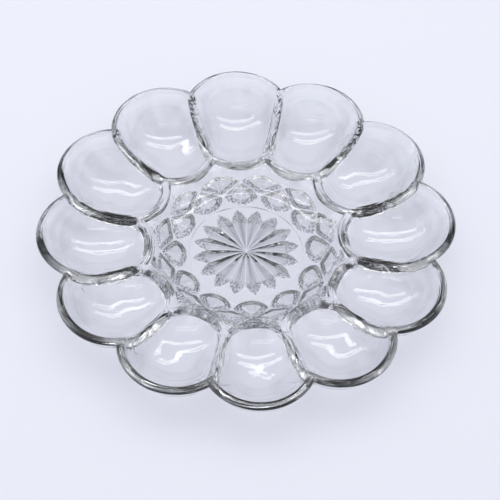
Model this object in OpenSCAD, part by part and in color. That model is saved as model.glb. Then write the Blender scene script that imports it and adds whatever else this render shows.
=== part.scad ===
// Deviled egg platter, one pressing of clear soda-lime glass.
// Twelve scooped egg wells ring a shallow dish whose underside carries a
// mitred star and two rows of thumbprints. The plate stands on z = 0 and its
// middle is on the Z axis. The pressing is built as regions that meet face to
// face: the star medallion, the thumbprint ring round it and the egg wells.

/* [Plate] */
// overall diameter across opposite rims
plate_dia = 250; // [200:1:320]
// height of the rim above the table
plate_h = 29.7; // [25:0.1:36]
// number of egg wells
well_count = 12; // [10:1:14]
// width of the rounded rim
rim_w = 4.8; // [4.4:0.1:6]

/* [Egg wells] */
// outer radius of one scallop, seen from above
scoop_r = 33.9; // [30:0.1:38]
// how far the round bottom is drawn out towards the middle
well_run = 8.5; // [6:0.1:12]
// thickness of the glass in a well
glass_t = 4.2; // [3.6:0.1:4.3]
// gap between the underside of a well and the table
well_gap = 0.8; // [0.4:0.1:2]

/* [Ridges] */
// height of the ridges and of the inner lip above the table
ridge_h = 16.9; // [14:0.1:20]
// width of the ridge between two wells
ridge_w = 5.2; // [4.4:0.1:6]
// how far before the notch a ridge starts to climb to the rim
ridge_climb_w = 21.9; // [17:0.1:27]
// draft of a ridge's flanks, in degrees
ridge_draft = 18; // [10:1:30]

/* [Dish] */
// width of the curved wall, from the flat floor to the middle of the lip
dish_rise_w = 18.1; // [16:0.1:20]
// thickness of the dish floor
dish_floor_t = 6; // [5:0.1:8]
// radius of the curve from the floor up to the lip
dish_curve_r = 21; // [18:0.1:25]
// thickness of the dish wall and of the land between two lips
dish_wall_t = 5; // [4:0.1:6]

/* [Star] */
// number of petals
petal_count = 16; // [12:1:20]
// distance from the tips of the petals to the valve circle
star_margin = 1.8; // [1:0.1:4]
// greatest depth of a petal's groove
petal_depth = 3; // [1.5:0.1:3.5]
// slope of a petal's two flanks, in degrees
petal_flank = 27; // [20:1:35]
// turn of the star against the wells, in degrees
star_turn = 5.9; // [0:0.1:22.5]
// radius of the uncut eye in the middle of the star
star_eye_r = 0.6; // [0.4:0.1:1.5]
// distance from the circle of the mould's valve to the edge of the flat floor
valve_margin = 5.3; // [4.5:0.1:7]
// height of the step at the valve circle
valve_step = 0.2; // [0.1:0.05:0.4]

/* [Thumbprints] */
// depth of the thumbprints in the underside
print_depth = 2.2; // [1:0.1:2.6]
// slope of their walls, in degrees
print_slope = 30; // [26:1:40]
// width of the uncut land between two thumbprints
land_w = 2; // [1:0.1:3]
// how far the inner row reaches in over the flat floor
print_in_w = 3.8; // [2:0.1:4.2]
// distance from the flat floor's edge to where the lands fork
print_fork_w = 5.4; // [4.5:0.1:6.5]
// distance from the flat floor's edge to where the lands meet again
print_meet_w = 13.8; // [12.5:0.1:14.5]
// distance from the flat floor's edge to the tips of the outer row
print_tip_w = 17.7; // [16.5:0.1:18.5]
// radius of the rounded outer end of a thumbprint of the outer row
print_tip_r = 16.6; // [15:0.1:20]

/* [Hidden] */

$fn = 96;

// a full turn and its parts
turn = 360;
half_turn = turn / 2;
quarter_turn = turn / 4;

// overrun of every cut past the glass it goes through
over = plate_h;
wide = plate_dia;

// rim: the bead's centre line is a circle about the well's upright axis
rim_r = rim_w / 2;
rim_z = plate_h - rim_r;
rim_line_r = scoop_r - rim_r;
well_r = plate_dia / 2 - scoop_r;
well_in_r = well_r - well_run;
pitch = turn / well_count;
petal_pitch = turn / petal_count;
lap_share = 1 / 8;
petal_slice = petal_pitch * (1 + lap_share);

// bowl: the middle of the wall lies on a ball that passes through the rim's
// centre line and hangs one wall above the table
bowl_rise = rim_z - well_gap - glass_t / 2;
wall_ball_r = (rim_line_r * rim_line_r + bowl_rise * bowl_rise) / (2 * bowl_rise);
ball_z = well_gap + glass_t / 2 + wall_ball_r;
skin_ball_r = wall_ball_r + glass_t / 2;
bowl_ball_r = wall_ball_r - glass_t / 2;

// inner lip: the same ball, cut at the height of the ridges
ridge_r = ridge_w / 2;
ridge_z = ridge_h - ridge_r;
lip_drop = ball_z - ridge_z;
lip_line_r = sqrt(wall_ball_r * wall_ball_r - lip_drop * lip_drop);
lip_r = well_in_r - lip_line_r;
dish_floor_r = lip_r - dish_rise_w;
valve_r = dish_floor_r - valve_margin;
star_r = valve_r - star_margin;

// notch: where two rims meet, on the plane between two wells
notch_mid_r = well_r * cos(pitch / 2);
notch_side = well_r * sin(pitch / 2);
notch_r = notch_mid_r + sqrt(rim_line_r * rim_line_r - notch_side * notch_side);

// ridge: level as far as the bend, then one arc up to the notch
ridge_bend_r = notch_r - ridge_climb_w;
climb_rise = rim_z - ridge_z;
climb_r = (ridge_climb_w * ridge_climb_w + climb_rise * climb_rise) / (2 * climb_rise);
climb_turn = acos((climb_r - climb_rise) / climb_r);
fork_side = well_in_r * sin(pitch / 2);
fork_r = well_in_r * cos(pitch / 2) - sqrt(lip_line_r * lip_line_r - fork_side * fork_side);
ridge_level_w = ridge_bend_r - fork_r + ridge_r / 4;
skirt_h = ridge_r + rim_r;
skirt_top_w = ridge_r * cos(ridge_draft);
skirt_base_w = skirt_top_w + skirt_h * tan(ridge_draft);

// dish: the floor runs tangent into the curve, above and below
dish_top_z = dish_floor_t + dish_curve_r;
under_curve_r = dish_curve_r + dish_wall_t;
web_z = ridge_z - dish_wall_t;
ring_joint_r = lip_r - rim_w;
web_out_r = fork_r + ridge_w;

// star: each petal is cut by a wheel with a V edge
wheel_reach = (star_r - star_eye_r) / 2;
wheel_mid_r = (star_r + star_eye_r) / 2;
wheel_r = (wheel_reach * wheel_reach + petal_depth * petal_depth) / (2 * petal_depth);
wheel_edge = 2 * petal_depth;
wheel_half_w = wheel_edge / tan(petal_flank);

// thumbprints: the middle of the land between the rows zigzags from a fork
// between two wells to a meeting point on a well's axis. Both rows are laid
// out in planes through that zigzag.
function under_z(run) = under_curve_r - sqrt(under_curve_r * under_curve_r - run * run);
half_land = land_w / 2;
fork_land_r = dish_floor_r + print_fork_w;
meet_land_r = dish_floor_r + print_meet_w;
fork_land_z = under_z(print_fork_w);
meet_land_z = under_z(print_meet_w);

// inner row: a round end on the flat floor and a chevron towards the wells
print_in_r = dish_floor_r - print_in_w;
print_end_r = (print_in_r - half_land) * sin(pitch / 2) / (1 - sin(pitch / 2)) - half_land;
inner_run = fork_land_r * cos(pitch / 2) - print_in_r;
inner_tilt = atan(fork_land_z / inner_run);
chevron_run = meet_land_r - fork_land_r * cos(pitch / 2);
chevron_tilt = atan((meet_land_z - fork_land_z) / chevron_run);
chevron_turn = atan(fork_land_r * sin(pitch / 2) * cos(chevron_tilt) / chevron_run);

// outer row: a chevron from the fork and a round end under the lips
outer_run = meet_land_r * cos(pitch / 2) - fork_land_r;
outer_tilt = atan((under_z(print_tip_w) - fork_land_z) / (print_tip_w - print_fork_w));
outer_turn = atan(meet_land_r * sin(pitch / 2) * cos(outer_tilt) / outer_run);
outer_mid = (print_tip_w - print_fork_w) / cos(outer_tilt) - print_tip_r;
end_lift = asin(print_tip_w / under_curve_r) - outer_tilt;
outer_slope = print_slope - end_lift / 2;

// A body of revolution about a well's lengthwise axis: a ball drawn out
// along the radius of the plate by the well's run.
module long_ball(ball_r) {
    translate([well_in_r, 0, ball_z])
        rotate([0, quarter_turn, 0])
            rotate_extrude()
                intersection() {
                    union() {
                        circle(r = ball_r);
                        translate([0, well_run]) circle(r = ball_r);
                        square([ball_r, well_run]);
                    }
                    translate([0, -wide / 2]) square([wide, wide]);
                }
}

// The air above the inner end of a well: everything above the cone that
// leaves the wall's end square to the wall.
module lip_air() {
    translate([well_in_r, 0, 0])
        rotate_extrude(angle = half_turn, start = quarter_turn)
            polygon([
                [0, ball_z],
                [wide, ball_z - wide * lip_drop / lip_line_r],
                [wide, ball_z + over],
                [0, ball_z + over],
            ]);
}

// The dish wall beyond the joint, and the flat land that fills the corners
// between two lips.
module dish_web() {
    rotate_extrude()
        intersection() {
            dish_section();
            translate([ring_joint_r - rim_w, 0]) square([web_out_r + rim_w - ring_joint_r, ridge_z]);
        }
}

// Section of the dish from the axis outwards, as wide as the land.
module dish_section() {
    difference() {
        square([web_out_r, ridge_z]);
        // the hollow of the dish
        translate([0, dish_floor_t]) square([dish_floor_r, over]);
        translate([dish_floor_r, dish_top_z]) circle(r = dish_curve_r);
        // the space under the curve
        difference() {
            translate([dish_floor_r, -over]) square([wide, over + web_z]);
            translate([dish_floor_r, under_curve_r]) circle(r = under_curve_r);
        }
    }
}

// Cross-section of a ridge: a round top on two drafted flanks. Up is -X.
module ridge_section() {
    circle(r = ridge_r);
    polygon([
        [0, -skirt_top_w],
        [skirt_h, -skirt_base_w],
        [skirt_h, skirt_base_w],
        [0, skirt_top_w],
    ]);
}

// One ridge on the XZ plane, from the fork of the lips to the notch.
module ridge_bar() {
    translate([ridge_bend_r, 0, ridge_z]) {
        translate([-ridge_level_w, 0, 0])
            rotate([0, quarter_turn, 0])
                linear_extrude(ridge_level_w) ridge_section();
        translate([0, 0, climb_r])
            rotate([quarter_turn, 0, 0])
                rotate_extrude(angle = climb_turn, start = -quarter_turn)
                    translate([climb_r, 0]) ridge_section();
    }
}

// The air above a ridge's centre line, one ridge wide.
module ridge_air() {
    rotate([quarter_turn, 0, 0])
        linear_extrude(ridge_w, center = true)
            translate([ridge_bend_r, ridge_z]) {
                translate([-ridge_level_w, 0]) square([ridge_level_w, over]);
                intersection() {
                    translate([0, climb_r]) circle(r = climb_r);
                    square([wide, wide]);
                }
            }
}

// Both ridges of one well.
module both_sides() {
    for (side = [-1, 1])
        rotate([0, 0, side * pitch / 2]) children();
}

// Rounded rim of one well.
module rim_bead() {
    translate([well_r, 0, rim_z])
        rotate_extrude(angle = half_turn, start = -quarter_turn)
            translate([rim_line_r, 0]) circle(r = rim_r);
}

// Rounded inner lip of one well.
module lip_bead() {
    translate([well_in_r, 0, ridge_z])
        rotate_extrude(angle = half_turn, start = quarter_turn)
            translate([lip_line_r, 0]) circle(r = ridge_r);
}

// Everything under a plane that rises along +X from one half land out.
module under_wall() {
    translate([half_land, 0, 0])
        rotate([0, -print_slope, 0])
            translate([-wide / 2, -wide / 2, -over]) cube([wide, wide, over]);
}

// Everything under the round end of a thumbprint, whose wall leans inwards.
module under_end(end_r, slope) {
    translate([0, 0, -print_depth])
        cylinder(h = 3 * print_depth, r1 = end_r + print_depth / tan(slope), r2 = end_r - 2 * print_depth / tan(slope));
}

// One thumbprint of the inner row before its floor is cut, along +X.
module inner_print() {
    intersection() {
        translate([print_in_r, 0, 0])
            rotate([0, -inner_tilt, 0])
                translate([print_end_r, 0, 0]) under_end(print_end_r, print_slope);
        for (side = [-1, 1])
            translate([meet_land_r, 0, meet_land_z])
                rotate([0, -chevron_tilt, 0])
                    rotate([0, 0, side * (quarter_turn + chevron_turn)]) under_wall();
    }
}

// One thumbprint of the outer row before its floor is cut, along +X.
module outer_print() {
    translate([fork_land_r, 0, fork_land_z])
        rotate([0, -outer_tilt, 0])
            intersection() {
                translate([outer_mid, 0, 0]) under_end(print_tip_r, outer_slope);
                rotate([0, 0, quarter_turn - outer_turn]) under_wall();
                rotate([0, 0, outer_turn - quarter_turn]) under_wall();
            }
}

// The glass within one thumbprint's depth of the dish's underside, and the
// space under it.
module print_floor() {
    rotate_extrude()
        difference() {
            translate([valve_r, -over]) square([web_out_r - valve_r, over + ridge_z]);
            translate([0, print_depth]) square([dish_floor_r, over]);
            translate([dish_floor_r, under_curve_r]) circle(r = under_curve_r - print_depth);
        }
}

// Keeps what lies in one well's slice of the plate, outside the joint.
module in_slice() {
    intersection() {
        rotate_extrude(angle = pitch, start = -pitch / 2)
            translate([ring_joint_r, -over]) square([wide / 2, over + wide]);
        children();
    }
}

// Glass of one well before the hollows are cut.
module well_blank() {
    difference() {
        long_ball(skin_ball_r);
        lip_air();
        translate([-wide / 2, -wide / 2, rim_z]) cube([2 * wide, wide, wide]);
    }
    dish_web();
}

// One egg well, lying along +X.
module egg_well() {
    difference() {
        in_slice() well_blank();
        long_ball(bowl_ball_r);
        both_sides() ridge_air();
        intersection() {
            both_sides() outer_print();
            print_floor();
        }
    }
    in_slice() intersection() {
        both_sides() ridge_bar();
        long_ball(skin_ball_r);
    }
    in_slice() lip_bead();
    in_slice() rim_bead();
}

module place_well(number) {
    color([0.86, 0.90, 0.93, 0.55])
        rotate([0, 0, quarter_turn - (number - 1) * pitch]) egg_well();
}

// Dish between the valve circle and the wells, with the two rows of
// thumbprints in its underside.
module thumbprint_ring() {
    color([0.80, 0.87, 0.93, 0.55])
        difference() {
            rotate_extrude()
                intersection() {
                    dish_section();
                    translate([valve_r, 0]) square([ring_joint_r - valve_r, over]);
                }
            intersection() {
                for (k = [0:well_count - 1])
                    rotate([0, 0, quarter_turn + k * pitch]) {
                        inner_print();
                        rotate([0, 0, pitch / 2]) outer_print();
                    }
                print_floor();
            }
        }
}

// Wheel with a V edge that grinds one petal, on its side under the plate.
module petal_wheel() {
    translate([wheel_mid_r, 0, valve_step + petal_depth - wheel_r])
        rotate([quarter_turn, 0, 0])
            rotate_extrude()
                polygon([
                    [wheel_r - wheel_edge, -wheel_half_w],
                    [wheel_r, 0],
                    [wheel_r - wheel_edge, wheel_half_w],
                ]);
}

// Hollow of one petal along +X, a little wider than its share of the turn so
// that neighbouring hollows cut each other's mitres.
module petal_hollow() {
    intersection() {
        rotate_extrude(angle = petal_slice, start = -petal_slice / 2)
            translate([0, -over]) square([wide, 2 * over]);
        petal_wheel();
    }
}

// Middle of the dish with the star in its underside.
module star_medallion() {
    color([0.90, 0.92, 0.96, 0.55])
        difference() {
            translate([0, 0, valve_step])
                cylinder(h = dish_floor_t - valve_step, r = valve_r);
            for (k = [0:petal_count - 1])
                rotate([0, 0, quarter_turn + star_turn + k * petal_pitch]) petal_hollow();
        }
}

star_medallion();
thumbprint_ring();
place_well(1);  // egg_well_01
place_well(2);  // egg_well_02
place_well(3);  // egg_well_03
place_well(4);  // egg_well_04
place_well(5);  // egg_well_05
place_well(6);  // egg_well_06
place_well(7);  // egg_well_07
place_well(8);  // egg_well_08
place_well(9);  // egg_well_09
place_well(10);  // egg_well_10
place_well(11);  // egg_well_11
place_well(12);  // egg_well_12
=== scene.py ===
# %% [markdown]
# # A pressed-glass plate for deviled eggs
# The plate is one pressing of clear glass: twelve scooped wells for half
# eggs round a shallow dish, with a star and two rows of thumbprints pressed
# into the underside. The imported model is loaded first. Its solids say where
# everything is; the glass made below stands for all of them, because real
# pressed glass is one clear body, and any wall left inside it would show as
# a mirror.

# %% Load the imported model
import math

import bmesh
import bpy
import numpy as np
from mathutils import Matrix, Vector


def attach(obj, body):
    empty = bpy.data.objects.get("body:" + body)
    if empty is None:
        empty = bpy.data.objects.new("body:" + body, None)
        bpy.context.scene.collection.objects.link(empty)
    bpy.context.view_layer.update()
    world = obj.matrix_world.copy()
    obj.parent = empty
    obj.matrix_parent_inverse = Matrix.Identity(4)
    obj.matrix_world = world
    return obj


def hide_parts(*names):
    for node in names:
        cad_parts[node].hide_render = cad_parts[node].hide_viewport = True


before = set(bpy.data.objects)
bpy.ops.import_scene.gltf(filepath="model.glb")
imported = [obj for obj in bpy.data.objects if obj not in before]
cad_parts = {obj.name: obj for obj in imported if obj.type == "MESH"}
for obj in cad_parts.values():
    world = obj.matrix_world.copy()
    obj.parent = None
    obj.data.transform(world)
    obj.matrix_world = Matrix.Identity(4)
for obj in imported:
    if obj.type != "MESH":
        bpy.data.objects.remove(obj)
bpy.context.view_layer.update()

# %% [markdown]
# ## Sizes
# Sizes are in millimetres and are those of the solids, so that the glass
# fits them. Only the depths and slopes of the pattern underneath are chosen
# here, inside the same outlines, by the way they shine in the photograph.
# Blender works in metres, so the mesh is made one thousandth of the size.

# %% Sizes of the plate and its wells
MM = 0.001

plate_r = 125.0
plate_h = 29.7
wells = 12
rim_r = 2.4
scoop_r = 33.9
well_run = 8.5  # how far the round bottom is drawn out towards the middle
glass_t = 4.2
well_gap = 0.8  # between a well and the table
ridge_h = 16.9
ridge_r = 2.6
climb_w = 21.9  # how far before the notch a ridge starts to climb
draft = math.radians(18)

# %% Sizes of the dish
dish_rise = 18.1  # from the flat floor's edge to the lip's centre line
floor_t = 6.0
curve_r = 21.0
wall_t = 5.0

# %% Sizes of the star and the thumbprints
valve_margin = 5.3
valve_step = 0.2
star_margin = 1.8
star_eye_r = 0.6
petals = 16
petal_depth = 2.3
petal_flank = math.radians(21.5)
petal_blunt = 3.0  # the higher, the longer a petal keeps its full depth
star_turn = math.radians(5.9)

print_depth = 3.3
print_reach = 6.5  # distance from its edge at which a thumbprint is deepest
print_slope = math.radians(30)
land_w = 2.0
print_in = 3.8
print_fork = 5.4
print_meet = 13.8
print_tip = 17.7
print_tip_r = 16.6
print_end = 18.9  # where the plain glass outside the thumbprints begins

# %% [markdown]
# ## Sizes that follow
# A pressing has few free sizes, and its maker works out the others. The
# bowl is a ball that has to reach the rim's width at the rim's height, and
# notches and forks lie where the circles of two neighbours cross.

# %% Sizes that follow
pitch = math.tau / wells
half = pitch / 2

rim_z = plate_h - rim_r
rim_line = scoop_r - rim_r
well_out = plate_r - scoop_r
well_in = well_out - well_run

bowl_rise = rim_z - well_gap - glass_t / 2
wall_ball = (rim_line**2 + bowl_rise**2) / (2 * bowl_rise)
ball_z = well_gap + glass_t / 2 + wall_ball
skin_ball = wall_ball + glass_t / 2
bowl_ball = wall_ball - glass_t / 2

ridge_z = ridge_h - ridge_r
lip_drop = ball_z - ridge_z
lip_line = math.sqrt(wall_ball**2 - lip_drop**2)

notch_r = well_out * math.cos(half) + math.sqrt(rim_line**2 - (well_out * math.sin(half)) ** 2)
fork_r = well_in * math.cos(half) - math.sqrt(lip_line**2 - (well_in * math.sin(half)) ** 2)
bend_r = notch_r - climb_w
climb_rise = rim_z - ridge_z
climb_r = (climb_w**2 + climb_rise**2) / (2 * climb_rise)
climb_turn = math.acos((climb_r - climb_rise) / climb_r)

floor_r = well_in - lip_line - dish_rise
valve_r = floor_r - valve_margin
star_r = valve_r - star_margin
under_r = curve_r + wall_t
web_z = ridge_z - wall_t
web_r = fork_r + 2 * ridge_r
print(f"bowl ball {bowl_ball:.2f}, notch at {notch_r:.2f}, fork at {fork_r:.2f}, climb radius {climb_r:.2f}")

# %% [markdown]
# ## The glass as a distance
# Pressed glass has no sharp edges: fire polishing rounds every corner. Bevels
# on a mesh would do it too, but they break up where four beads meet. So the
# body of one well is written as a distance to its surface, below zero inside
# the glass, and its parts are joined with a soft minimum, which leaves a
# small fillet wherever two of them meet.

# %% Soft joins
fillet = 0.9
bead_join, wall_join, land_join = 0.7, 0.6, 0.5
far_off = 1e3


def soft_min(a, b, k=fillet):
    """The smaller of two distances, with the corner between them rounded over the width k."""
    h = np.maximum(k - np.abs(a - b), 0) / k
    return np.minimum(a, b) - h * h * k / 4


def soft_max(a, b, k=fillet):
    """The larger of two distances, rounded in the same way."""
    return -soft_min(-a, -b, k)


# %% Distance to the dish wall and the land between two lips
def dish_web(r, z):
    """Below zero inside the dish's section at radius r and height z: under the
    hollow's floor and curve, over the underside's curve, and under the land."""
    out = r > floor_r
    hollow = np.where(out, curve_r - np.hypot(r - floor_r, z - floor_t - curve_r), z - floor_t)
    under = np.where(out, under_r - np.hypot(r - floor_r, z - under_r), z)
    land = soft_max(under, z - web_z, land_join)
    return np.maximum(np.maximum(hollow, -land), np.maximum(z - ridge_z, r - web_r))


# %% Distance to the ridge between two wells
def ridge_bar(along, aside, z):
    """Distance to a round bead on two drafted flanks, and to the cut above it.
    The height over its centre line, up, is measured straight as far as the
    bend, and then as the climb's radius less the distance from its centre."""
    climbs = along > bend_r
    reach = np.hypot(along - bend_r, z - ridge_z - climb_r)
    up = np.where(climbs, climb_r - reach, z - ridge_z)
    bead = np.hypot(aside, up) - ridge_r
    flank = np.maximum(aside * math.cos(draft) + up * math.sin(draft) - ridge_r * math.cos(draft) ** 2, up)
    flank = np.maximum(flank, -up - ridge_r - rim_r)
    stop = (along - bend_r) * math.cos(climb_turn) - (ridge_z + climb_r - z) * math.sin(climb_turn)
    bar = soft_min(bead, flank, wall_join)
    bar = np.maximum(bar, np.where(climbs, stop, fork_r - ridge_r / 4 - along))
    above = np.minimum(up, ridge_r - aside)
    return bar, above


# %% Distance to the glass of one well
def glass(p):
    """Distance from points (x outwards from the plate's middle, y across, z up)
    to the glass of the well on the x axis. The shell is a ball drawn out along
    x; the rim and the lip are beads on circles round the ball's two ends."""
    x, y, z = p[..., 0], np.abs(p[..., 1]), p[..., 2]
    axis = np.clip(x, well_in, well_out)
    ball = np.sqrt((x - axis) ** 2 + y**2 + (z - ball_z) ** 2)

    shell = np.maximum(np.abs(ball - wall_ball) - glass_t / 2, z - rim_z)
    inner = np.hypot(x - well_in, y)
    cone = (z - ball_z + inner * lip_drop / lip_line) * lip_line / wall_ball
    shell = np.maximum(shell, np.where(x < well_in, cone, -far_off))

    along = x * math.cos(half) + y * math.sin(half)
    aside = x * math.sin(half) - y * math.cos(half)
    bar, above = ridge_bar(along, aside, z)
    shell = np.maximum(shell, above)
    bar = np.maximum(bar, ball - skin_ball)

    web = soft_max(dish_web(np.hypot(x, y), z), bowl_ball - ball, wall_join)
    lip = np.hypot(inner - lip_line, z - ridge_z) - ridge_r
    rim = np.hypot(np.hypot(x - well_out, y) - rim_line, z - rim_z) - rim_r

    body = soft_min(shell, web)
    body = soft_min(body, np.where(x < well_in, lip, far_off), bead_join)
    body = soft_min(body, bar, bead_join)
    return soft_min(body, np.where(x > well_out, rim, far_off), bead_join)


# %% Pull a grid onto the glass
def settle(p, hold=None, rounds=14):
    """Moves each point along the slope of the distance until it lies on the
    surface: by the distance over the slope's square, times the slope. A
    direction in hold is left out of the move, which keeps a point in the plane
    of the ridge."""
    step, least_slope, longest_move = 0.02, 0.25, 0.8
    axes = np.eye(3) * step
    for _ in range(rounds):
        d = glass(p)
        slope = np.stack([glass(p + a) - glass(p - a) for a in axes], -1) / (2 * step)
        if hold is not None:
            slope = slope - hold * (slope * hold).sum(-1, keepdims=True)
        size = np.maximum((slope**2).sum(-1), least_slope)
        move = -(d / size)[..., None] * slope
        far = np.linalg.norm(move, axis=-1, keepdims=True)
        p = p + move * np.minimum(1, longest_move / np.maximum(far, 1e-9))
    return p


# %% [markdown]
# ## Grids that follow the shape
# A clear surface shows every crooked line behind it, so the grid's lines run
# along the rims, lips and ridges, where a voxel mesh would leave steps. One
# well is laid out in its own slice of the plate, and the other eleven are
# turned copies of it. Its outline is a loop of beads: a ridge out, the rim
# round, the other ridge back in, and the lip.

# %% Helpers for plan points
def polar(r, angle, x=0.0):
    """Plan points at radius r and the given angles about the point (x, 0)."""
    angle = np.asarray(angle, float)
    return np.stack([x + r * np.cos(angle), r * np.sin(angle)], -1)


def plan_angle(point, x):
    """Angle of a plan point about (x, 0)."""
    return math.atan2(point[1], point[0] - x)


def with_z(xy, z):
    """Plan points with their heights as a third value."""
    return np.concatenate([xy, np.asarray(z)[..., None]], -1)


side = np.array([math.cos(half), math.sin(half)])
across = np.array([math.sin(half), -math.cos(half)])
notch_a = plan_angle(notch_r * side, well_out)
fork_a = plan_angle(fork_r * side, well_in)
print(f"notch at {math.degrees(notch_a):.1f} degrees of the rim, fork at {math.degrees(fork_a):.1f} of the lip")

# %% Corners of the loop
corner_run, tilt_run = 6.0, 5.0


def corner(n1, n2):
    """Direction in which the corner of two lines with these normals moves when both move by one."""
    return (n1 + n2) / (1 + n1 @ n2)


def near(distance):
    """1 at a corner, falling to 0 over the run of a corner."""
    return np.clip(1 - distance / corner_run, 0, 1)[:, None]


n_rim, n_lip = -polar(1, notch_a), -polar(1, fork_a)
at_notch, at_fork = corner(across, n_rim), corner(across, n_lip)

# %% Centre line of a ridge
ridge_cols, rim_cols, lip_cols = 18, 40, 32


def ridge_line():
    """Centre, inward and upward directions and bead radius from the fork to the
    notch, in equal steps of length: level to the bend, then round an arc."""
    level = bend_r - fork_r
    total = level + climb_r * climb_turn
    run = np.linspace(0, total, ridge_cols + 1)
    turned = np.maximum(run - level, 0) / climb_r
    along = np.minimum(fork_r + run, bend_r) + climb_r * np.sin(turned)
    height = ridge_z + climb_r * (1 - np.cos(turned))

    near_fork, near_notch = near(run), near(total - run)
    inward = across + (at_fork - across) * near_fork + (at_notch - across) * near_notch
    tilt = turned * np.clip((total - run) / tilt_run, 0, 1)
    upward = with_z(-np.sin(tilt)[:, None] * side, np.cos(tilt))
    bead = ridge_r + (rim_r - ridge_r) * near_notch[:, 0]
    return with_z(along[:, None] * side, height), inward, upward, bead


# %% Centre lines of the rim and the lip
def round_line(angles, x, radius, height, from_corner, bend):
    """Centre line and inward direction of a bead on a circle about (x, 0). Near
    its corners the direction is bent towards the corner's own."""
    shift = bend * near(from_corner)
    shift[:, 1] *= np.where(np.sin(angles) < 0, -1, 1)
    return with_z(polar(radius, angles, x), np.full(angles.size, height)), shift - polar(1, angles)


rim_angles = np.linspace(notch_a, -notch_a, rim_cols + 1)
from_notch = (notch_a - np.abs(rim_angles)) * rim_line
lip_angles = np.linspace(-fork_a, fork_a - math.tau, lip_cols + 1)
from_fork = (math.pi - fork_a - np.abs(np.abs(lip_angles) - math.pi)) * lip_line


# %% Loop of beads round one well
def well_loop():
    """Centre line, inward direction, upward direction, bead radius and held
    direction at each column of the loop, from the fork on one side round by
    the rim to the same fork."""
    ridge, ridge_in, ridge_up, ridge_bead = ridge_line()
    rim, rim_in = round_line(rim_angles, well_out, rim_line, rim_z, from_notch, at_notch - n_rim)
    lip, lip_in = round_line(lip_angles, well_in, lip_line, ridge_z, from_fork, at_fork - n_lip)

    flip2, flip3 = np.array([1, -1]), np.array([1, -1, 1])
    centre = np.concatenate([ridge[:-1], rim[:-1], (ridge * flip3)[::-1][:-1], lip[:-1]])
    inward = np.concatenate([ridge_in[:-1], rim_in[:-1], (ridge_in * flip2)[::-1][:-1], lip_in[:-1]])
    rim_up, lip_up = np.tile([0.0, 0.0, 1.0], (rim_cols, 1)), np.tile([0.0, 0.0, 1.0], (lip_cols, 1))
    upward = np.concatenate([ridge_up[:-1], rim_up, (ridge_up * flip3)[::-1][:-1], lip_up])
    rim_bead, lip_bead = np.full(rim_cols, rim_r), np.full(lip_cols, ridge_r)
    bead = np.concatenate([ridge_bead[:-1], rim_bead, ridge_bead[::-1][:-1], lip_bead])
    hold = np.zeros_like(centre)
    hold[: ridge_cols + 1] = [across[0], across[1], 0]
    hold[ridge_cols + rim_cols : 2 * ridge_cols + rim_cols + 1] = [across[0], -across[1], 0]
    return centre, inward, upward, bead, hold


centre, inward, upward, bead, hold = well_loop()
print("columns round a well:", len(centre))

# %% [markdown]
# ## The inside of a well
# The plunger that presses the glass has a round nose for each half egg. The
# grid starts on the crest of the beads, rolls down their inner side, steps
# over the flank and then runs along rays to the bottom of the bowl, so its
# rows close in evenly, as on a globe, and no pole is pinched.

# %% Helpers for the bowl
pole = np.array([(well_in + well_out) / 2, 0.0])


def bowl_height(xy, ball):
    """Height of the lower half of a ball drawn out along the well: the ball's
    middle less the root of its radius squared less the plan distance squared."""
    axis = np.clip(xy[..., 0], well_in, well_out)
    d2 = (xy[..., 0] - axis) ** 2 + xy[..., 1] ** 2
    return ball_z - np.sqrt(np.maximum(ball**2 - d2, 1.0))


def ray_rows(edge, ball, count):
    """Plan positions on straight rays from an edge to the pole, in equal steps of
    the ball's angle: the distance from the well's axis falls as the sine of
    that angle."""
    axis = np.clip(edge[:, 0], well_in, well_out)
    away = np.hypot(edge[:, 0] - axis, edge[:, 1])
    start = np.arcsin(np.clip(away / ball, 0.05, 0.99))
    left = 1 - np.arange(1, count + 1) / (count + 0.6)
    s = 1 - np.sin(start * left[:, None]) / np.sin(start)
    return edge + (pole - edge) * s[..., None]


def smooth_round(values, times):
    """Blends values round a closed loop with their neighbours."""
    for _ in range(times):
        values = (np.roll(values, 1) + 2 * values + np.roll(values, -1)) / 4
    return values


# %% Upper surface of one well
bead_rows, bowl_rows = 7, 13
last_rim, last_lip, last_ridge = np.radians([-9, 14, -12])
flank_drop, bowl_drop = 0.5, 4.0
least_flank, most_flank = 0.15, 1.6


def last_turns():
    """Angle at which the rows leave the bead, on the rim, the lip and the ridges, blended where they meet."""
    col = np.arange(len(inward))
    last = np.where(col < 2 * ridge_cols + rim_cols, last_ridge, last_lip)
    last = np.where((col > ridge_cols) & (col < ridge_cols + rim_cols), last_rim, last)
    return smooth_round(last, 6)


def well_top():
    """Rows from the crest of the beads down their inner side (centre plus bead
    radius times cosine inward and sine upward), over the flank, and along rays
    to the bottom of the bowl."""
    flat_in = with_z(inward, np.zeros(len(inward)))
    first, last = math.pi / 2, last_turns()
    rows = []
    for t in np.linspace(0, 1, bead_rows):
        turn = first + (last - first) * t
        rows.append(centre + bead[:, None] * (np.cos(turn)[:, None] * flat_in + np.sin(turn)[:, None] * upward))
    edge = rows[-1][:, :2]
    low = np.minimum(rows[-1][:, 2] - flank_drop, ball_z - bowl_drop)
    axis = np.clip(edge[:, 0], well_in, well_out)
    away = np.hypot(edge[:, 0] - axis, edge[:, 1])
    level = np.sqrt(np.maximum(bowl_ball**2 - (ball_z - low) ** 2, 0))
    edge = edge + inward * np.clip(away - level, least_flank, most_flank)[:, None]
    rows.append(with_z(edge, bowl_height(edge, bowl_ball)))
    below = ray_rows(edge, bowl_ball, bowl_rows)
    grid = np.stack(rows + [with_z(xy, bowl_height(xy, bowl_ball)) for xy in below])
    held = np.zeros_like(grid)
    held[0] = hold
    return settle(grid, held)


top_grid = well_top()
print("well top:", top_grid.shape, "heights", top_grid[..., 2].min().round(2), top_grid[..., 2].max().round(2))

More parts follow.
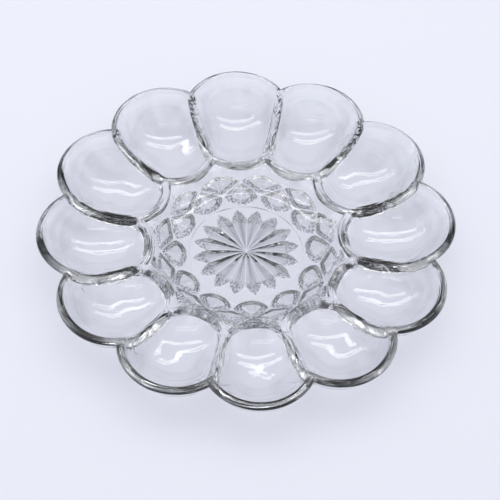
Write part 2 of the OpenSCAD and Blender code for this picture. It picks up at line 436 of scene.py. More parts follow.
# %% [markdown]
# ## The inside of the dish
# The dish is turned: its section is a flat floor and one round curve. Its
# grid takes the lip's points as they are, runs down the lip's bead and then
# along straight lines to the edge of the floor, so that well and dish share
# every point on the crest between them.

# %% Upper surface of the dish, one well wide
lip_turns = np.radians([74, 58, 42, 26, 8, -12])
curve_rows = 12
floor_ring = floor_r - 2.5


def dish_top():
    """Rows from the lip's crest down its bead towards the middle, then down the
    curve (its centre's height less the root of its radius squared less the run
    squared) to the floor and the valve circle."""
    cols = np.r_[2 * ridge_cols + rim_cols : len(centre), 0]
    crest, line = top_grid[0, cols], centre[cols]
    to_middle = -side / (polar(1, fork_a) @ -side)
    shift = (to_middle - polar(1, fork_a)) * near(from_fork)
    shift[:, 1] *= np.where(np.sin(lip_angles) < 0, -1, 1)
    outward = with_z(polar(1, lip_angles) + shift, np.zeros(len(cols)))
    rows = [crest]
    for turn in lip_turns:
        rows.append(line + ridge_r * (math.cos(turn) * outward + [0, 0, math.sin(turn)]))
    edge = rows[-1][:, :2]
    angle = np.linspace(-half, half, len(cols))
    foot = polar(floor_r, angle)
    for s in np.linspace(0, 1, curve_rows)[1:]:
        xy = edge + (foot - edge) * s
        r = np.hypot(xy[:, 0], xy[:, 1])
        hollow = floor_t + curve_r - np.sqrt(np.maximum(curve_r**2 - np.maximum(r - floor_r, 0) ** 2, 0))
        rows.append(with_z(xy, np.minimum(hollow, ridge_z)))
    grid = np.stack(rows)
    held = np.zeros_like(grid)
    held[:, 0] = [math.sin(half), math.cos(half), 0]
    held[:, -1] = [across[0], across[1], 0]
    grid[1:-1] = settle(grid[1:-1], held[1:-1])
    flat = [with_z(polar(r, angle), np.full(len(cols), floor_t)) for r in (floor_ring, valve_r)]
    return np.concatenate([grid, np.stack(flat)])


dish_grid = dish_top()
print("dish:", dish_grid.shape)

# %% [markdown]
# ## The outside of a well
# The mould's hollow gives the outside: the rim rolls over into a skin that
# lies one wall away from the egg's bed. The rim's last line, the two planes
# between the wells and the crease under the dish make one loop, and rays run
# from it to the lowest point of the skin.

# %% Outside of the rim
strip_turns = np.radians([76, 60, 44, 28, 12, -4, -20, -35])
strip_radii = [33.0, 32.3, 31.3, 30.2, 29.1, 28.0]


def on_plane(rho):
    """Angle about the well's axis at which a circle of radius rho meets the plane between two wells."""
    r = well_out * math.cos(half) + math.sqrt(rho**2 - (well_out * math.sin(half)) ** 2)
    return plan_angle(r * side, well_out)


def rim_outside():
    """Rows from the rim's crest over its bead (a circle of the rim's radius) and
    down the skin, with both ends on the planes between the wells."""
    t = np.linspace(1, -1, rim_cols + 1)
    rows = [top_grid[0, ridge_cols : ridge_cols + rim_cols + 1]]
    for turn in strip_turns:
        rho = rim_line + rim_r * math.cos(turn)
        xy = polar(rho, t * on_plane(rho), well_out)
        rows.append(with_z(xy, np.full(t.size, rim_z + rim_r * math.sin(turn))))
    for rho in strip_radii:
        xy = polar(rho, t * on_plane(rho), well_out)
        rows.append(with_z(xy, bowl_height(xy, skin_ball)))
    grid = np.stack(rows)
    held = np.zeros_like(grid)
    held[:, 0] = [across[0], across[1], 0]
    held[:, -1] = [across[0], -across[1], 0]
    grid[1:] = settle(grid[1:], held[1:])
    return grid


rim_grid = rim_outside()
print("rim:", rim_grid.shape)

# %% Crease under the dish
crease_cols = 40

crease_line = math.sqrt(skin_ball**2 - (ball_z - web_z) ** 2)
crease_r = well_in * math.cos(half) - math.sqrt(crease_line**2 - (well_in * math.sin(half)) ** 2)
crease_a = plan_angle(crease_r * side, well_in)
crease_angles = np.linspace(-crease_a, crease_a - math.tau, crease_cols + 1)
crease = with_z(polar(crease_line, crease_angles, well_in), np.full(crease_cols + 1, web_z))
print("crease from", crease[0].round(2), "to", crease[-1].round(2))

# %% Skin of one well
plane_cols, skin_rows = 12, 10


def skin_outside():
    """Rows on rays from the loop of rim line, planes and crease to the lowest
    point of the skin, each at the height of the outer ball."""
    first = np.hypot(*rim_grid[-1, 0, :2])
    r = np.linspace(first, crease_r, plane_cols + 1)[1:-1]
    plane = np.stack([r * side[0], -r * side[1]], -1)
    line = with_z(plane, bowl_height(plane, skin_ball))
    line = settle(line, np.broadcast_to([across[0], -across[1], 0], line.shape))
    other = (line * [1, -1, 1])[::-1]
    loop = np.concatenate([rim_grid[-1], line, crease, other])
    below = ray_rows(loop[:, :2], skin_ball, skin_rows)
    grid = np.stack([loop] + [with_z(xy, bowl_height(xy, skin_ball)) for xy in below])
    grid[1:] = settle(grid[1:])
    return grid


skin_grid = skin_outside()
print("skin:", skin_grid.shape, "lowest", skin_grid[..., 2].min().round(3))

# %% [markdown]
# ## The pattern underneath
# Seen from above, the star and the thumbprints shine because their walls
# turn the light back: more than 41 degrees off the square of a wall, glass
# is a mirror. A thumbprint's edge is where tilted walls and a round end leave
# the plain dish, and from there it is scooped, as a thumb would leave clay.
# So the underside is a height over the table, worked out from the distance to
# that edge, which is simpler and cleaner than cutting a mesh forty times.

# %% Heights of walls and ends
def under_height(r, depth=0.0):
    """Height of the dish's underside, or of the surface one depth inside the glass, at radius r."""
    run = np.maximum(r - floor_r, 0)
    inside = (under_r - depth) ** 2 - run**2
    return np.where(run > 0, under_r - np.sqrt(np.maximum(inside, 0)), depth)


def tilted_wall(x, y, start, tilt, turn):
    """Height of a wall that leaves a tilted plane half a land from the line
    through its start, and rises by the print's slope, square to that line."""
    c, s, t = math.cos(tilt), math.sin(tilt), math.tan(print_slope)
    n1, n2 = math.cos(turn), math.sin(turn)
    return start[1] + ((x - start[0]) * (s + n1 * c * t) + (n2 * y - land_w / 2) * t) / (c - n1 * s * t)


def tilted_end(x, y, start, tilt, mid, end_r, slope):
    """Height of a round end: a cone that stands on the tilted plane and leans inwards, found in a few rounds."""
    c, s = math.cos(tilt), math.sin(tilt)
    z = np.full_like(x, start[1])
    for _ in range(8):
        along = (x - start[0]) * c + (z - start[1]) * s
        lift = (end_r - np.hypot(along - mid, y)) * math.tan(slope)
        z = start[1] + (lift + (x - start[0]) * s) / c
    return z


# %% Planes that the thumbprints stand on
fork_land = np.array([floor_r + print_fork, float(under_height(floor_r + print_fork))])
meet_land = np.array([floor_r + print_meet, float(under_height(floor_r + print_meet))])
tip_z = float(under_height(floor_r + print_tip))

inner_in = floor_r - print_in
inner_end = (inner_in - land_w / 2) * math.sin(half) / (1 - math.sin(half)) - land_w / 2
inner_tilt = math.atan(fork_land[1] / (fork_land[0] * math.cos(half) - inner_in))
chevron_run = meet_land[0] - fork_land[0] * math.cos(half)
chevron_tilt = math.atan((meet_land[1] - fork_land[1]) / chevron_run)
chevron_turn = math.atan(fork_land[0] * math.sin(half) * math.cos(chevron_tilt) / chevron_run)

outer_run = meet_land[0] * math.cos(half) - fork_land[0]
outer_tilt = math.atan((tip_z - fork_land[1]) / (print_tip - print_fork))
outer_turn = math.atan(meet_land[0] * math.sin(half) * math.cos(outer_tilt) / outer_run)
outer_mid = (print_tip - print_fork) / math.cos(outer_tilt) - print_tip_r
outer_slope = print_slope - (math.asin(print_tip / under_r) - outer_tilt) / 2
print(f"inner row tilted by {math.degrees(inner_tilt):.1f} degrees, outer row by {math.degrees(outer_tilt):.1f}")

# %% Heights of the thumbprints
corner_blend, row_blend = 0.4, 0.05


def scooped(plain, walls):
    """Height of a hollow over the plain underside: with e the distance from its
    edge, the depth is 1 - (1 - e / reach)^2 of the full depth."""
    edge_mm = np.maximum(walls - plain, 0) / math.tan(print_slope)
    return plain + print_depth * (1 - (1 - np.minimum(edge_mm / print_reach, 1)) ** 2)


def thumbprint_height(r, angle):
    """Height of the underside with both rows of thumbprints, at radius r and an
    angle from the well's axis of at most half a pitch. A hollow's edge is the
    lower of its straight wall and its round end."""
    angle = np.abs(angle)
    plain = np.minimum(under_height(r), web_z)
    x, y = r * np.cos(angle), r * np.sin(angle)
    inner = soft_min(
        tilted_wall(x, y, meet_land, chevron_tilt, -math.pi / 2 - chevron_turn),
        tilted_end(x, y, np.array([inner_in, 0.0]), inner_tilt, inner_end, inner_end, print_slope),
        corner_blend,
    )
    x, y = r * np.cos(half - angle), r * np.sin(half - angle)
    outer = soft_min(
        tilted_wall(x, y, fork_land, outer_tilt, outer_turn - math.pi / 2),
        tilted_end(x, y, fork_land, outer_tilt, outer_mid, print_tip_r, outer_slope),
        corner_blend,
    )
    return soft_max(scooped(plain, inner), scooped(plain, outer), row_blend)


# %% [markdown]
# ## The star
# Each petal is one groove of a grinding wheel, copied in the mould: deep in
# the middle and running out at both ends. Sixteen of them meet in mitred
# crests. A height that depends on the place along and across the nearest
# petal gives all sixteen at once.

# %% Height of the star
petal_turn = math.tau / petals
petal_reach = (star_r - star_eye_r) / 2
petal_mid = (star_r + star_eye_r) / 2
crest_blend = 0.15


def off_petal(angle):
    """Angle from the valley of the nearest petal."""
    return np.abs((angle - star_turn + petal_turn / 2) % petal_turn - petal_turn / 2)


def star_height(r, angle):
    """Height of the underside inside the valve circle. Along a petal the depth
    falls from its middle as 1 - u^3, where u is the share of the way to an
    end, and to both sides it falls with the flank's slope."""
    angle = off_petal(angle)
    x, y = r * np.cos(angle), r * np.sin(angle)
    u = np.abs(x - petal_mid) / petal_reach
    groove = valve_step + petal_depth * (1 - u**petal_blunt) - y * math.tan(petal_flank)
    return soft_max(np.full_like(groove, valve_step), groove, crest_blend)


# %% Underside of the dish
ring_rows, land_rows = 50, 6
step_half = 0.08  # half of the width that the valve circle's step takes
column_angles = np.linspace(-half, half, crease_cols + 1)


def dish_under():
    """Rows from the valve circle out over both rows of thumbprints, and on over the land to the crease."""
    radii = np.linspace(valve_r + step_half, floor_r + print_end, ring_rows)
    rr, aa = np.meshgrid(radii, column_angles, indexing="ij")
    grid = np.stack([rr * np.cos(aa), rr * np.sin(aa), thumbprint_height(rr, aa)], -1)
    far = crease[::-1] if crease[0, 1] > 0 else crease
    last = grid[-1, :, :2]
    rows = []
    for s in np.linspace(0, 1, land_rows + 1)[1:-1]:
        xy = last + (far[:, :2] - last) * s
        r = np.hypot(xy[:, 0], xy[:, 1])
        rows.append(with_z(xy, np.minimum(under_height(r), web_z)))
    return np.concatenate([grid, np.stack(rows + [far])])


under_grid = dish_under()
print("underside of the dish:", under_grid.shape)

# %% Underside inside the valve circle
outer_rows = np.linspace(valve_r - step_half, 23.0, 20)
inner_rows = np.linspace(23.0, 1.0, 18)[1:]
star_rows = np.r_[valve_r + step_half, outer_rows, inner_rows]
ring_cols = wells * crease_cols


def star_under():
    """Rows of full circles from the valve circle to the middle. Past the first
    row they are turned a little, so that columns run along the petals' valleys."""
    step = math.tau / ring_cols
    twist = (star_turn + step / 2) % step - step / 2
    angles = math.radians(90) - half + step * np.arange(ring_cols)
    joined = (star_rows > valve_r)[:, None]
    rr = np.broadcast_to(star_rows[:, None], (star_rows.size, ring_cols))
    aa = angles + np.where(joined, 0, twist)
    return np.stack([rr * np.cos(aa), rr * np.sin(aa), np.where(joined, 0, star_height(rr, aa))], -1)


star_grid = star_under()
print("star:", star_grid.shape, "deepest", star_grid[..., 2].max().round(2))

# %% [markdown]
# ## One body of glass
# All grids are joined into one closed mesh. A pressing has no inner walls,
# and light bends only where glass meets air, so the grids are turned into
# place for all twelve wells, and the points on their common edges are merged.

# %% Helpers for joining grids
def turned(grid, angle):
    """The grid turned about the plate's axis."""
    c, s = math.cos(angle), math.sin(angle)
    x, y = grid[..., 0], grid[..., 1]
    return np.stack([c * x - s * y, s * x + c * y, grid[..., 2]], -1)


def grid_faces(rows, cols, start, loop):
    """Quads between neighbouring rows and columns, closed round where the grid is a loop."""
    index = np.arange(rows * cols).reshape(rows, cols) + start
    if loop:
        index = np.concatenate([index, index[:, :1]], 1)
    return np.stack([index[:-1, :-1], index[1:, :-1], index[1:, 1:], index[:-1, 1:]], -1).reshape(-1, 4)


def add_patch(parts, grid, loop=False, pole=None, flip=False):
    """Adds a grid's points and quads, and a fan of triangles round its pole."""
    start = sum(len(p) for p in parts["points"])
    rows, cols = grid.shape[:2]
    quads = grid_faces(rows, cols, start, loop)
    parts["points"].append(grid.reshape(-1, 3))
    if pole is not None:
        last = np.arange(cols) + start + (rows - 1) * cols
        tip = np.full(cols, start + rows * cols)
        fan = np.stack([last, tip, np.roll(last, -1)], -1)
        parts["points"].append(np.asarray(pole, float)[None])
        parts["tris"].append(fan[:, ::-1] if flip else fan)
    parts["quads"].append(quads[:, ::-1] if flip else quads)


# %% Join the grids
parts = {"points": [], "quads": [], "tris": []}
bowl_pole = np.array([*pole, bowl_height(pole, bowl_ball)])
skin_pole = np.array([*pole, well_gap])
for number in range(wells):
    angle = math.radians(90) - number * pitch
    add_patch(parts, turned(top_grid, angle), True, turned(bowl_pole, angle))
    add_patch(parts, turned(dish_grid, angle))
    add_patch(parts, turned(rim_grid, angle), flip=True)
    add_patch(parts, turned(skin_grid, angle), True, turned(skin_pole, angle), flip=True)
    add_patch(parts, turned(under_grid, angle), flip=True)
add_patch(parts, star_grid, True, [0, 0, valve_step])

top_cols = wells * lip_cols
top_angles = math.radians(90) - half + math.tau / top_cols * np.arange(top_cols)
middle = [with_z(polar(r, top_angles), np.full(top_cols, floor_t)) for r in (valve_r, 24.0, 10.0)]
add_patch(parts, np.stack(middle), True, [0, 0, floor_t])

points = np.concatenate(parts["points"]) * MM
quads, tris = np.concatenate(parts["quads"]), np.concatenate(parts["tris"])
print("points:", len(points), "triangles:", 2 * len(quads) + len(tris))


# %% Weld and close the glass
def mesh_from(name, points, faces):
    """An object of these points and faces, with doubles merged, faces turned
    outwards and smooth shading. Its open edges are counted: there are none."""
    mesh = bpy.data.meshes.new(name)
    mesh.from_pydata(points.tolist(), [], faces)
    body = bmesh.new()
    body.from_mesh(mesh)
    bmesh.ops.remove_doubles(body, verts=body.verts, dist=0.02 * MM)
    bmesh.ops.recalc_face_normals(body, faces=body.faces)
    open_edges = sum(not edge.is_manifold for edge in body.edges)
    print(name, "open edges:", open_edges, "volume cm3:", round(body.calc_volume() * 1e6, 1))
    body.to_mesh(mesh)
    body.free()
    mesh.polygons.foreach_set("use_smooth", np.ones(len(mesh.polygons), bool))
    mesh.update()
    obj = bpy.data.objects.new(name, mesh)
    bpy.context.scene.collection.objects.link(obj)
    return obj


platter = mesh_from("pressed_glass_platter", points, quads.tolist() + tris.tolist())
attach(platter, "root")
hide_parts(*[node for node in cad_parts])

# %% [markdown]
# ## Marks for the material
# Some of what the eye sees in pressed glass depends on the place in the mould: a coarse skin on the steep walls
# of the pattern, flow lines along the beads. Other values say where grey is painted on as shade: in the hollows
# underneath, on their steep walls and on the walls of the wells. A texture can't know where these are, so every
# point carries a few values, worked out from the same distances as the shape. They stay with the mesh wherever
# it goes.

# %% Marks of the pattern
def pattern_marks(r, angle, z):
    """Values that are above 0 only where the underside is cut. hollow: 1 inside a hollow. stipple: 1 on the
    thumbprints' steep walls and at the petals' tips, where the skin is coarse; there dark spots of painted shade
    are laid on too. shade: how much painted shade a hollow gets, most in the valleys and near the star's middle,
    and 0 on the crests, where a petal's flanks run out."""
    depth = z - np.minimum(under_height(r), web_z)
    cut = (depth < print_depth + 1) & (r < floor_r + print_end)
    star = r < valve_r

    aside = off_petal(angle)
    u = np.abs(r - petal_mid) / petal_reach
    room = petal_depth * np.clip(1 - u**petal_blunt, 0.02, 1) / math.tan(petal_flank)
    room = np.minimum(room, np.maximum(r, 0.5) * math.tan(petal_turn / 2))
    in_petal = np.clip(1 - r * np.sin(aside) / room, 0, 1)
    crest_mm = room - r * np.sin(aside)
    # painted shade: a petal is greyest in its valley and towards the star's middle, and clear on its crests
    petal_painted_shade = (0.5 + 0.5 * in_petal**2) * (1.05 - 0.4 * r / star_r) * np.clip(crest_mm / 0.5, 0, 1)
    # painted shade: a thumbprint is greyer the deeper it is cut
    cell_painted_shade = 0.42 * np.clip(depth / print_depth, 0, 1)

    wall = np.clip(np.minimum(depth, 0.8 * print_depth - depth) / 0.3, 0, 1)
    in_star = np.clip((depth - valve_step - 0.08) / 0.25, 0, 1)
    tips = np.clip((r - 21) / 4, 0, 1) * in_star
    return {
        "hollow": np.where(cut, np.where(star, in_star, np.clip(depth / 0.5, 0, 1)), 0),
        "stipple_and_shade": np.where(cut, np.where(star, tips, wall), 0),
        "shade": np.where(cut, np.where(star, petal_painted_shade * in_star, cell_painted_shade), 0),
    }


# %% Marks of the wells
def well_marks(r, angle, z):
    """ring: distance in mm from the axis of the nearest well. flank: 1 on a
    well's outer wall. flow: 1 on the beads, less on the dish wall. bowl: 1 on
    the walls of a well, 0 at its bottom and outside it."""
    slice_angle = (angle - math.pi / 2 + half) % pitch - half
    along, off = r * np.cos(slice_angle), r * np.sin(slice_angle)
    ring = np.hypot(along - np.clip(along, well_in, well_out), off)
    to_ridge = along * math.sin(half) - np.abs(off) * math.cos(half)
    bar, _ = ridge_bar(along * math.cos(half) + np.abs(off) * math.sin(half), to_ridge, z)
    lip = np.hypot(np.hypot(along - well_in, off) - lip_line, z - ridge_z) - ridge_r
    rim = np.hypot(np.hypot(along - well_out, off) - rim_line, z - rim_z) - rim_r
    bead_mm = np.minimum(np.minimum(np.abs(lip), np.abs(rim)), np.abs(bar))
    dish_wall = 0.6 * np.clip((r - 51) / 4, 0, 1) * np.clip((ring - 26) / 2, 0, 1) * (along < well_in)
    return {
        "ring": ring,
        "flank": np.clip((ring - 17) / 8, 0, 1) * (along > well_in) * np.clip((z - 3) / 5, 0, 1),
        "flow": np.maximum(np.clip(1 - bead_mm / 1.5, 0, 1), dish_wall),
        # bowl places the painted shade on the walls of the wells, none at the bottom
        "bowl": np.clip((ring - 5) / 14, 0, 1) * np.clip((31.5 - ring) / 2, 0, 1),
    }


# %% Write the marks
def write_marks(mesh):
    """Writes both sets of values to the mesh as point attributes."""
    spots = np.empty(len(mesh.vertices) * 3)
    mesh.vertices.foreach_get("co", spots)
    x, y, z = spots.reshape(-1, 3).T / MM
    r, angle = np.hypot(x, y), np.arctan2(y, x)
    for name, values in {**pattern_marks(r, angle, z), **well_marks(r, angle, z)}.items():
        mesh.attributes.new(name, "FLOAT", "POINT").data.foreach_set("value", values.astype(np.float32))
        print(name, "mean:", round(float(values.mean()), 3))


write_marks(platter.data)

# %% [markdown]
# ## Pressed soda-lime glass
# A plate like this is pressed in a mould and then fire-polished: a flame
# melts the skin, so it is smooth but never quite flat. The eye sees that as
# highlights that waver. Glass is made here from the Principled shader with
# full transmission and no roughness, at the index of soda-lime glass, 1.52.

# %% Helpers for materials
MATH, VECTOR, MIX, NOISE = "ShaderNodeMath", "ShaderNodeVectorMath", "ShaderNodeMix", "ShaderNodeTexNoise"


def linear(code):
    """sRGB hex colour as linear values with alpha."""
    values = np.array([int(code[i : i + 2], 16) for i in (1, 3, 5)]) / 255
    low, high = values / 12.92, ((values + 0.055) / 1.055) ** 2.4
    return (*np.where(values <= 0.04045, low, high), 1.0)


def add_node(tree, kind, values=None, links=None, **settings):
    """Adds a node with its settings, the values of its sockets and the links into
    them. A link comes from a socket, or from a node's first output."""
    node = tree.nodes.new(kind)
    for name, value in settings.items():
        setattr(node, name, value)
    for name, value in (values or {}).items():
        node.inputs[name].default_value = value
    for name, source in (links or {}).items():
        tree.links.new(getattr(source, "outputs", [source])[0], node.inputs[name])
    return node


def new_material(name):
    """An empty material and its node tree."""
    material = bpy.data.materials.new(name)
    material.use_nodes = True
    material.node_tree.nodes.clear()
    return material, material.node_tree


# %% Where the glass reads its place and its marks
glass_mat, tree = new_material("pressed_soda_lime_glass")
coords = add_node(tree, "ShaderNodeTexCoord").outputs["Object"]
hollow, stipple_and_shade, shade, ring, flow, flank, bowl = (
    add_node(tree, "ShaderNodeAttribute", attribute_name=name).outputs["Fac"]
    for name in ("hollow", "stipple_and_shade", "shade", "ring", "flow", "flank", "bowl")
)

# %% [markdown]
# ### A skin that is never quite flat
# Four bumps lie on each other: the slow waver of fire polishing, a finer
# peel, flow lines where the glass chilled as it ran along the beads, and the
# coarse skin on the steep walls of the pattern. On the real plate flow lines
# and coarse skin have about half a millimetre from one line or grain to the
# next; they are drawn more than twice as coarse, so that they show.

# %% Four bumps
waver_mm, waver_deep = 14.0, 0.22
peel_mm, peel_deep = 3.5, 0.03
flow_mm, flow_deep = 1.2, 1.0
grain_mm, grain_deep = 1.3, 1.0
flow_turns = (28, 28, 28)  # per metre, so a flow line changes over 36 mm

waver = add_node(tree, NOISE, {"Scale": 1 / (waver_mm * MM), "Detail": 1.0}, {"Vector": coords})
peel = add_node(tree, NOISE, {"Scale": 1 / (peel_mm * MM), "Detail": 0.0}, {"Vector": coords})
grain = add_node(tree, NOISE, {"Scale": 1 / (grain_mm * MM), "Detail": 1.0}, {"Vector": coords})

ring_step = add_node(tree, MATH, {1: 1 / flow_mm}, {0: ring}, operation="MULTIPLY")
ring_way = add_node(tree, "ShaderNodeCombineXYZ", {}, {0: ring_step})
flow_way = add_node(tree, VECTOR, {1: flow_turns}, {0: coords, 2: ring_way}, operation="MULTIPLY_ADD")
lines = add_node(tree, NOISE, {"Scale": 1.0, "Detail": 1.0}, {"Vector": flow_way})
flow_lines = add_node(tree, MATH, {}, {0: lines, 1: flow}, operation="MULTIPLY")
rough_grain = add_node(tree, MATH, {}, {0: grain, 1: stipple_and_shade}, operation="MULTIPLY")

normal = {}
for source, deep in ((waver, waver_deep), (peel, peel_deep), (flow_lines, flow_deep), (rough_grain, grain_deep)):
    values, links = {"Strength": 1.0, "Distance": deep * MM}, {"Height": source}
    normal = {"Normal": add_node(tree, "ShaderNodeBump", values, {**links, **normal})}
print("bumps:", waver_deep, peel_deep, flow_deep, grain_deep, "mm")

# %% [markdown]
# ### Painted shade in the pattern and in the walls
# The petals and thumbprints are painted grey, with fine spokes: painted shade for the dim light on the table
# under the hollows, whose flanks send the lamps' light aside, and dark spots of painted shade where their steep
# walls turn the light back and look dark. The walls of the wells get soft grey patches of painted shade, broken
# up like lumps and cords left in the glass as it was gathered. Both are drawn as a small loss of light at the
# surface: noise stretched along the radius, and slow noise on the walls, from clear glass to grey.

# %% How grey each place is
clear_tone, painted_shade_tone = "#FBFBFD", "#6C6C74"
spoke_scale, cord_scale, cord_stretch = 22.0, 9.0, (1.0, 0.35, 1.0)
wall_shade_share = 0.12

place = add_node(tree, "ShaderNodeSeparateXYZ", {}, {0: coords}).outputs
turn = add_node(tree, MATH, {}, {0: place[1], 1: place[0]}, operation="ARCTAN2")
reach = add_node(tree, VECTOR, {}, {0: coords}, operation="LENGTH").outputs["Value"]
spoke = add_node(tree, "ShaderNodeCombineXYZ", {}, {0: turn, 1: reach})
spokes = add_node(tree, NOISE, {"Scale": spoke_scale, "Detail": 2.0}, {"Vector": spoke})
uneven = add_node(tree, MATH, {1: 1.6, 2: 0.2}, {0: spokes}, operation="MULTIPLY_ADD")
# painted shade in the hollows, streaked along the radius
streaky = add_node(tree, MATH, {}, {0: shade, 1: uneven}, operation="MULTIPLY")
# dark spots of painted shade on the steep walls and at the petals' tips
mottle = add_node(tree, MATH, {1: 5.0, 2: -1.9}, {0: grain}, operation="MULTIPLY_ADD", use_clamp=True)
spots = add_node(tree, MATH, {}, {0: mottle, 1: stipple_and_shade}, operation="MULTIPLY")
hollow_painted_shade = add_node(tree, MATH, {}, {0: streaky, 1: spots}, operation="MAXIMUM", use_clamp=True)

# soft patches of painted shade on the walls of the wells
drawn_way = add_node(tree, VECTOR, {1: cord_stretch}, {0: spoke}, operation="MULTIPLY")
drawn = add_node(tree, NOISE, {"Scale": cord_scale, "Detail": 1.0}, {"Vector": drawn_way})
lumps = add_node(tree, MATH, {}, {0: drawn, 1: waver}, operation="ADD")
cords = add_node(tree, MATH, {1: 3.5, 2: -3.1}, {0: lumps}, operation="MULTIPLY_ADD", use_clamp=True)
on_walls = add_node(tree, MATH, {1: wall_shade_share}, {0: bowl}, operation="MULTIPLY")
wall_painted_shade = add_node(tree, MATH, {}, {0: cords, 1: on_walls}, operation="MULTIPLY")

grey = add_node(tree, MATH, {}, {0: hollow_painted_shade, 1: wall_painted_shade}, operation="MAXIMUM")
tones = {6: linear(clear_tone), 7: linear(painted_shade_tone)}
tone = add_node(tree, MIX, tones, {0: grey}, data_type="RGBA").outputs[2]
print("tones:", clear_tone, painted_shade_tone)

# %% [markdown]
# ### Clear body, grey edges and a light shadow
# Soda-lime glass holds a little iron, so where light runs a long way through
# it, in the rims, it comes out grey; a thin wall stays clear. Absorption
# inside the body does that. A renderer's lamps can't shine through curved
# glass without very many samples, so lamp rays pass the surface as a plain
# tinted sheet, dark where it is seen edge on, which gives the soft shadow.

# %% Body of the glass
clear = add_node(
    tree, "ShaderNodeBsdfPrincipled", {"Roughness": 0.0, "IOR": 1.52, "Transmission Weight": 1.0},
    {"Base Color": tone, **normal},
)
iron = add_node(tree, "ShaderNodeVolumeAbsorption", {"Color": linear("#CFD2D4"), "Density": 19.0})

# %% What lets the lamps through
lit_tone, edge_tone, hollow_tone = "#FEFEFE", "#5C5A74", "#FCFCFD"
edge_power, flank_share = 4.0, 0.16

path = add_node(tree, "ShaderNodeLightPath").outputs
lamp_ways = {0: path["Is Shadow Ray"], 1: path["Is Diffuse Ray"]}
lamp_path = add_node(tree, MATH, {}, lamp_ways, operation="MAXIMUM")
tilt = add_node(tree, "ShaderNodeLayerWeight", {"Blend": 0.5}).outputs["Facing"]
grazing = add_node(tree, MATH, {1: edge_power}, {0: tilt}, operation="POWER")
# Lamp rays through the outer walls of the wells, and through the hollows underneath, are dimmed a little more
# than elsewhere. That gives an extra shadow in front of the wells and under the pattern, set by these tints and
# not by the glass's shape.
lens = add_node(tree, MATH, {1: flank_share}, {0: flank}, operation="MULTIPLY")
steep = add_node(tree, MATH, {}, {0: grazing, 1: lens}, operation="MAXIMUM")
tones = {6: linear(lit_tone), 7: linear(edge_tone)}
plain = add_node(tree, MIX, tones, {0: steep}, data_type="RGBA").outputs[2]
tint = add_node(tree, MIX, {7: linear(hollow_tone)}, {0: hollow, 6: plain}, data_type="RGBA").outputs[2]
through = add_node(tree, "ShaderNodeBsdfTransparent", {}, {"Color": tint})

surface = add_node(tree, "ShaderNodeMixShader", {}, {0: lamp_path, 1: clear, 2: through})
add_node(tree, "ShaderNodeOutputMaterial", {}, {"Surface": surface, "Volume": iron})
platter.data.materials.append(glass_mat)
print("glass:", len(tree.nodes), "nodes")

# %% [markdown]
# ## Table
# The plate was photographed on a pale sheet. Paper scatters light evenly and
# hardly shines, so it is matt, with a faint blue from its brightener.

# %% Floor
def flat_sheet(name, half_size, z, colour):
    """A square sheet of matt paper round the middle, at height z."""
    corners = np.array([[-1, -1, 0], [1, -1, 0], [1, 1, 0], [-1, 1, 0]]) * half_size + [0, 0, z]
    mesh = bpy.data.meshes.new(name)
    mesh.from_pydata(corners.tolist(), [], [[0, 1, 2, 3]])
    obj = bpy.data.objects.new(name, mesh)
    bpy.context.scene.collection.objects.link(obj)
    material, tree = new_material(name + "_paper")
    matt = add_node(tree, "ShaderNodeBsdfPrincipled", {"Base Color": linear(colour), "Roughness": 0.9})
    add_node(tree, "ShaderNodeOutputMaterial", {}, {"Surface": matt})
    mesh.materials.append(material)
    return obj


floor_half, floor_z = 1.6, -0.00005
floor = flat_sheet("floor", floor_half, floor_z, "#EDEFF9")
print("floor:", 2 * floor_half, "m wide")

# %% [markdown]
# ## Light
# Clear glass shows only what stands round it. Low down there is a pale
# backdrop, and overhead a bright ceiling. Between them lies a band of dark
# and light streaks, as the things in a room would be: rims and walls bend
# the view into that band, and it draws their edges.

# %% Surroundings
backdrop_top, ceiling_from, ceiling_full = (0.18, 0.22), 0.48, 0.62
band_scale = (1.8, 1.8, 13.0)  # wide and flat streaks

world = bpy.data.worlds.new("studio")
bpy.context.scene.world = world
world.use_nodes = True
tree = world.node_tree
tree.nodes.clear()
direction = add_node(tree, "ShaderNodeTexCoord").outputs["Generated"]
height = add_node(tree, "ShaderNodeSeparateXYZ", {}, {0: direction}).outputs["Z"]
flat_way = add_node(tree, VECTOR, {1: band_scale}, {0: direction}, operation="MULTIPLY")
room = add_node(tree, NOISE, {"Scale": 1.0, "Detail": 2.0}, {"Vector": flat_way})
streak = add_node(tree, MATH, {1: 6.0, 2: -2.5}, {0: room}, operation="MULTIPLY_ADD", use_clamp=True)
tones = {6: linear("#303436"), 7: linear("#F0F1F5")}
around = add_node(tree, MIX, tones, {0: streak}, data_type="RGBA").outputs[2]
above = add_node(tree, "ShaderNodeMapRange", {1: ceiling_from, 2: ceiling_full}, {0: height})
light = add_node(tree, MIX, {7: linear("#FCFCFF")}, {0: above, 6: around}, data_type="RGBA").outputs[2]
sky = add_node(tree, "ShaderNodeBackground", {"Strength": 0.855}, {"Color": light})
paper = add_node(tree, "ShaderNodeBackground", {"Color": linear("#E9ECF7"), "Strength": 1.0})
risen = add_node(tree, "ShaderNodeMapRange", {1: backdrop_top[0], 2: backdrop_top[1]}, {0: height})
backdrop = add_node(tree, "ShaderNodeMixShader", {}, {0: risen, 1: paper, 2: sky})
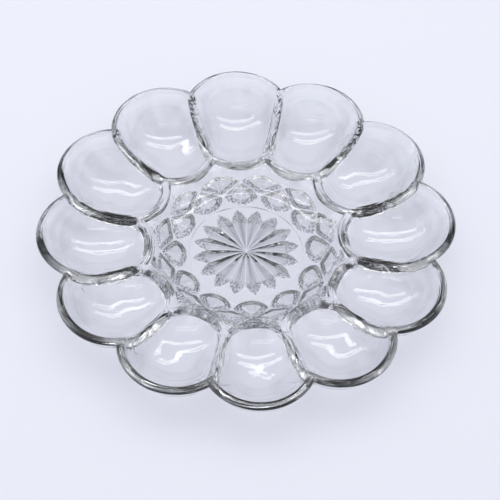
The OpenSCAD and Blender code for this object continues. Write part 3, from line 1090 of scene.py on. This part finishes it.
add_node(tree, "ShaderNodeOutputWorld", {}, {"Surface": backdrop})
print("surroundings:", len(tree.nodes), "nodes")

# %% [markdown]
# ## Lamps
# Every well of the plate in the photograph holds one or two thin bright
# lines: tubes on a ceiling, mirrored in the bowls. Three long thin lamps
# give the same lines; a square lamp would leave a blob in each well.

# %% Three strip lamps
def long_lamp(name, place, length, width, power):
    """Lamp that lies along X and faces the plate."""
    data = bpy.data.lights.new(name, "AREA")
    data.shape = "RECTANGLE"
    data.size, data.size_y = length, width
    data.energy = power
    lamp = bpy.data.objects.new(name, data)
    away = Vector((0, place[1], place[2])).normalized()
    along = Vector((1, 0, 0))
    lamp.matrix_world = Matrix((along, away.cross(along), away)).transposed().to_4x4()
    lamp.location = place
    bpy.context.scene.collection.objects.link(lamp)
    return lamp


strip_height, strip_width = 1.0, 0.08
for name, x, y, length, power in (
    ("far", -0.15, 0.48, 1.9, 2.6),
    ("middle", 0.1, 0.12, 1.6, 1.7),
    ("near", -0.25, -0.5, 1.0, 0.5),
):
    long_lamp(name + "_strip", (x, y, strip_height), length, strip_width, power)
    print(name, "strip:", length, "m,", power, "W")

# %% [markdown]
# ## Camera
# The camera stands where the photographer's did. Its place and its turn were
# found by fitting the rims of the twelve wells, which lie in one plane, to
# their outlines in the photograph.

# %% Camera
camera_place = (-0.061094, -0.523438, 0.7253)
camera_right = (0.99676518, -0.0722966, 0.03510525)
camera_up = (0.03779103, 0.80711956, 0.58917727)
focal_share = 1471 / 500  # focal length over the frame's width, in pixels

camera_data = bpy.data.cameras.new("camera")
camera_data.sensor_width = 36.0
camera_data.lens = focal_share * camera_data.sensor_width
camera = bpy.data.objects.new("camera", camera_data)
right, up = Vector(camera_right).normalized(), Vector(camera_up).normalized()
back = right.cross(up)
camera.matrix_world = Matrix((right, up, back)).transposed().to_4x4()
camera.location = camera_place
bpy.context.scene.collection.objects.link(camera)
bpy.context.scene.camera = camera
bpy.context.scene.view_settings.view_transform = "Standard"
print("lens:", round(camera_data.lens, 1), "mm")
